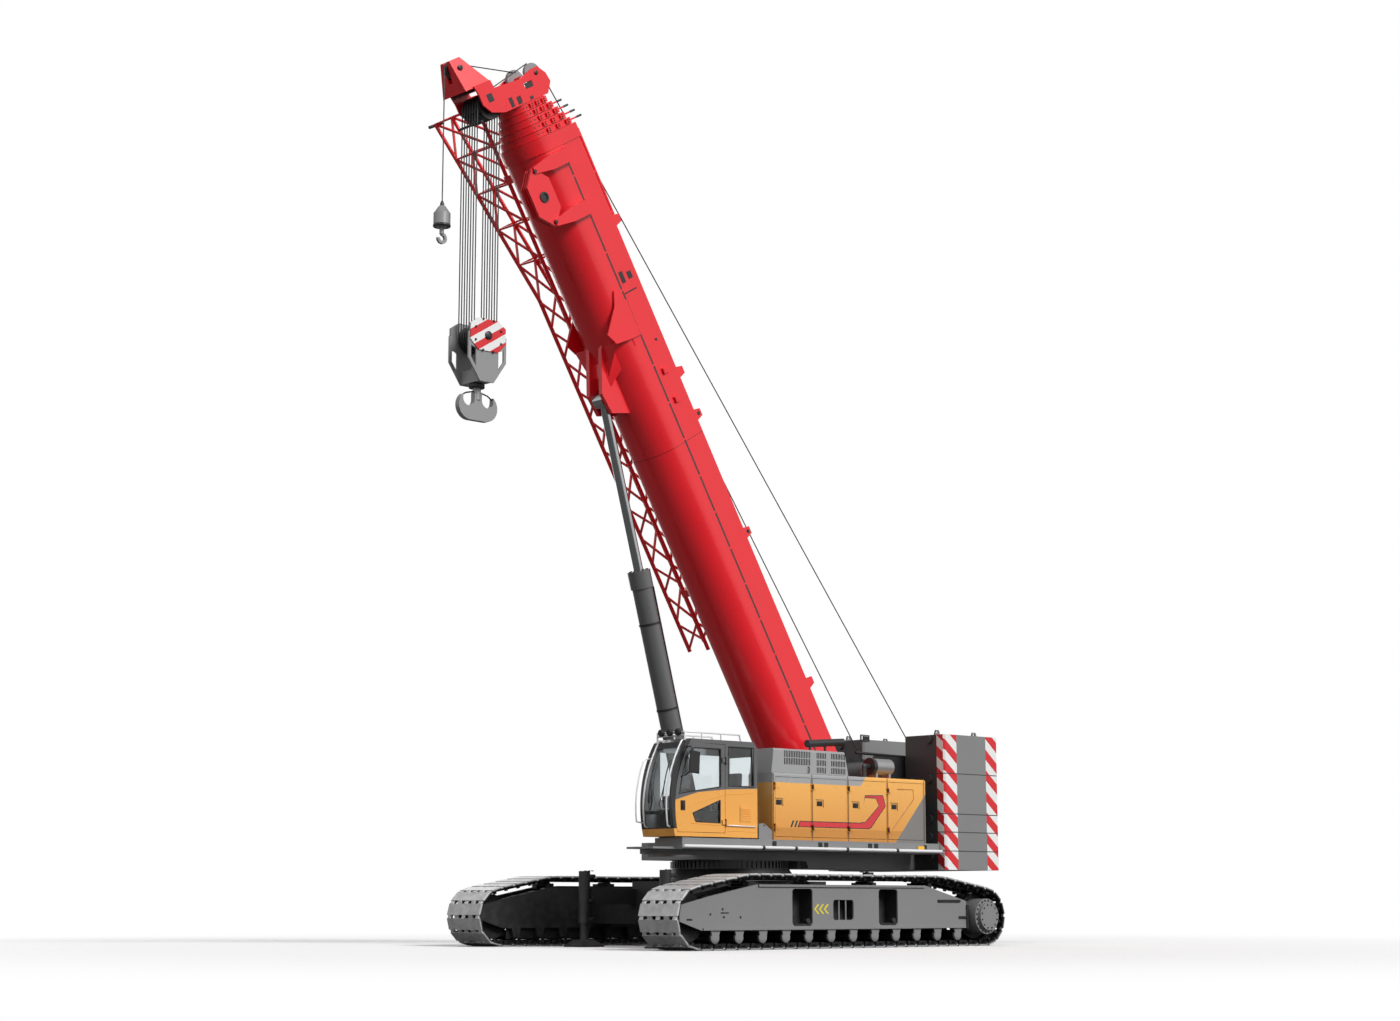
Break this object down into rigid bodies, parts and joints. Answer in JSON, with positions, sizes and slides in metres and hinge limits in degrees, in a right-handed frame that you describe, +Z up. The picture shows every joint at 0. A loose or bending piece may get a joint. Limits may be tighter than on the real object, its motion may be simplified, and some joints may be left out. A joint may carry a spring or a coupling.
{
  "type": "telescopic crawler crane",
  "caption": "Crawler crane with slewing upper works, side cab, rear counterweight, luffing telescopic boom, stowed lattice jib and two hooks.",
  "frame": {"origin": "on the ground under the slewing axis", "axes": "+X to the crane's front, +Y to its left (cab side), +Z up"},
  "size_m": [12.9634, 6.4, 15.7919],
  "materials": {
    "boom_red": "gloss",
    "house_yellow": "satin",
    "deck_grey": "satin",
    "ballast_grey": "satin",
    "frame_grey": "satin",
    "chassis_dark": "satin",
    "track_steel": "worn",
    "cast_iron": "satin",
    "rail_silver": "satin",
    "rod_chrome": "polished",
    "rope_steel": "stranded",
    "cab_glass": "clear",
    "seat_fabric": "woven"
  },
  "bodies": {
    "undercarriage": {"car_body": "chassis_dark", "crawler_frame_left": "frame_grey", "crawler_frame_right": "frame_grey", "track_left": "track_steel", "track_right": "track_steel", "track_wheels": "chassis_dark", "track_rollers": "chassis_dark", "final_drives": "frame_grey", "jacks": "chassis_dark", "slew_ring": "chassis_dark"},
    "upper": {"upper_frame": "chassis_dark", "side_decks": "deck_grey", "side_rails": "rail_silver", "engine_house": "house_yellow", "engine_cowl": "deck_grey", "engine_block": "cast_iron", "tank_house": "deck_grey", "exhaust_silencer": "deck_grey", "winch_frame": "deck_grey", "winch_drums": "chassis_dark", "counterweight_slabs": "ballast_grey", "counterweight_blocks": "ballast_grey", "cab_shell": "house_yellow", "cab_glass": "cab_glass", "cab_seat": "seat_fabric"},
    "cab_door": {"cab_door": "house_yellow", "cab_door_glass": "cab_glass"},
    "boom_base": {"boom_base": "boom_red", "cylinder_bracket": "boom_red", "side_bracket": "boom_red", "fly_jib": "boom_red"},
    "luff_rod": {"luff_rod": "rod_chrome"},
    "luff_barrel": {"luff_barrel": "deck_grey"},
    "main_falls": {"main_falls": "rope_steel"},
    "hook_block": {"hook_block": "deck_grey", "block_sheaves": "cast_iron"},
    "main_hook": {"main_hook": "cast_iron"},
    "aux_line": {"aux_line": "rope_steel"},
    "aux_ball": {"aux_ball": "cast_iron"},
    "aux_hook": {"aux_hook": "cast_iron"},
    "main_hoist_line": {"main_hoist_line": "rope_steel"},
    "aux_hoist_line": {"aux_hoist_line": "rope_steel"},
    "house_door_1": {"house_door_1": "house_yellow"},
    "house_door_2": {"house_door_2": "house_yellow"},
    "house_door_3": {"house_door_3": "house_yellow"},
    "house_door_4": {"house_door_4": "house_yellow"},
    "boom_section_2": {"boom_section_2": "boom_red"},
    "boom_section_3": {"boom_section_3": "boom_red"},
    "boom_section_4": {"boom_section_4": "boom_red"},
    "boom_section_5": {"boom_section_5": "boom_red"},
    "boom_section_6": {"boom_section_6": "boom_red", "boom_head": "boom_red", "head_sheaves": "cast_iron"}
  },
  "joints": [
    {"name": "slew", "type": "hinge", "parent": "undercarriage", "child": "upper", "pos_m": [0, 0, 1.5], "axis": [0, 0, 1], "continuous": true},
    {"name": "cab_door_swing", "type": "hinge", "parent": "upper", "child": "cab_door", "pos_m": [1.53, 1.524, 2.7], "axis": [0, 0, 1], "range_deg": [0, 80]},
    {"name": "house_door_1_swing", "type": "hinge", "parent": "upper", "child": "house_door_1", "pos_m": [0.23, 1.474, 2.5], "axis": [0, 0, -1], "range_deg": [0, 90]},
    {"name": "house_door_2_swing", "type": "hinge", "parent": "upper", "child": "house_door_2", "pos_m": [-0.75, 1.474, 2.5], "axis": [0, 0, -1], "range_deg": [0, 90]},
    {"name": "house_door_3_swing", "type": "hinge", "parent": "upper", "child": "house_door_3", "pos_m": [-1.72, 1.474, 2.5], "axis": [0, 0, -1], "range_deg": [0, 90]},
    {"name": "house_door_4_swing", "type": "hinge", "parent": "upper", "child": "house_door_4", "pos_m": [-2.81, 1.474, 2.5], "axis": [0, 0, -1], "range_deg": [0, 90]},
    {"name": "boom_luff", "type": "hinge", "parent": "upper", "child": "boom_base", "pos_m": [-1.85, 0, 2.52], "axis": [0, -1, 0], "range_deg": [-58.7, 23.3], "deforming": ["main_hoist_line", "aux_hoist_line"]},
    {"name": "luff_rod_swing", "type": "hinge", "parent": "boom_base", "child": "luff_rod", "pos_m": [3.17104, 0, 9.88311], "axis": [0, -1, 0], "range_deg": [-15.79, 6.57]},
    {"name": "luff_barrel_slide", "type": "slide", "parent": "luff_rod", "child": "luff_barrel", "axis": [-0.2748, 0, -0.9615], "range_m": [-2.0498, 0.8257]},
    {"name": "telescope_2", "type": "slide", "parent": "boom_base", "child": "boom_section_2", "axis": [0.5195, 0, 0.8545], "range_m": [0, 9.3]},
    {"name": "telescope_3", "type": "slide", "parent": "boom_section_2", "child": "boom_section_3", "axis": [0.5195, 0, 0.8545], "range_m": [0, 9.3]},
    {"name": "telescope_4", "type": "slide", "parent": "boom_section_3", "child": "boom_section_4", "axis": [0.5195, 0, 0.8545], "range_m": [0, 9.3]},
    {"name": "telescope_5", "type": "slide", "parent": "boom_section_4", "child": "boom_section_5", "axis": [0.5195, 0, 0.8545], "range_m": [0, 9.3]},
    {"name": "telescope_6", "type": "slide", "parent": "boom_section_5", "child": "boom_section_6", "axis": [0.5195, 0, 0.8545], "range_m": [0, 9.3]},
    {"name": "main_fall_swing", "type": "hinge", "parent": "boom_section_6", "child": "main_falls", "pos_m": [6.09201, 0, 14.75462], "axis": [0, -1, 0], "range_deg": [-23.8, 59.2]},
    {"name": "main_hoist", "type": "slide", "parent": "main_falls", "child": "hook_block", "axis": [0, 0, -1], "range_m": [-3.1, 8.5], "deforming": ["main_falls"]},
    {"name": "main_hook_swivel", "type": "hinge", "parent": "hook_block", "child": "main_hook", "pos_m": [6.09201, 0, 9.6], "axis": [0, 0, 1], "continuous": true},
    {"name": "aux_fall_swing", "type": "hinge", "parent": "boom_section_6", "child": "aux_line", "pos_m": [6.72308, 0, 15.33059], "axis": [0, -1, 0], "range_deg": [-23.8, 59.2]},
    {"name": "aux_hoist", "type": "slide", "parent": "aux_line", "child": "aux_ball", "axis": [0, 0, -1], "range_m": [-1.9, 6], "deforming": ["aux_line"]},
    {"name": "aux_hook_swivel", "type": "hinge", "parent": "aux_ball", "child": "aux_hook", "pos_m": [6.91338, 0, 12.4], "axis": [0, 0, 1], "continuous": true},
    {"name": "main_line_swing", "type": "hinge", "parent": "upper", "child": "main_hoist_line", "pos_m": [-4.9, 0, 3.25], "axis": [0, -1, 0], "range_deg": [-51.09, 20.58]},
    {"name": "aux_line_swing", "type": "hinge", "parent": "upper", "child": "aux_hoist_line", "pos_m": [-3.78, 0, 3.21], "axis": [0, -1, 0], "range_deg": [-54.29, 21.85]}
  ],
  "couplings": [
    {"joint": "luff_rod_swing", "follows": "boom_luff", "ratio": 0.26054},
    {"joint": "luff_barrel_slide", "follows": "boom_luff", "m_per_rad": 1.9812},
    {"joint": "main_fall_swing", "follows": "boom_luff", "ratio": -1},
    {"joint": "aux_fall_swing", "follows": "boom_luff", "ratio": -1},
    {"joint": "main_line_swing", "follows": "boom_luff", "ratio": 0.86181},
    {"joint": "aux_line_swing", "follows": "boom_luff", "ratio": 0.91637},
    {"joint": "telescope_3", "follows": "telescope_2", "ratio": 1},
    {"joint": "telescope_4", "follows": "telescope_2", "ratio": 1},
    {"joint": "telescope_5", "follows": "telescope_2", "ratio": 1},
    {"joint": "telescope_6", "follows": "telescope_2", "ratio": 1}
  ]
}
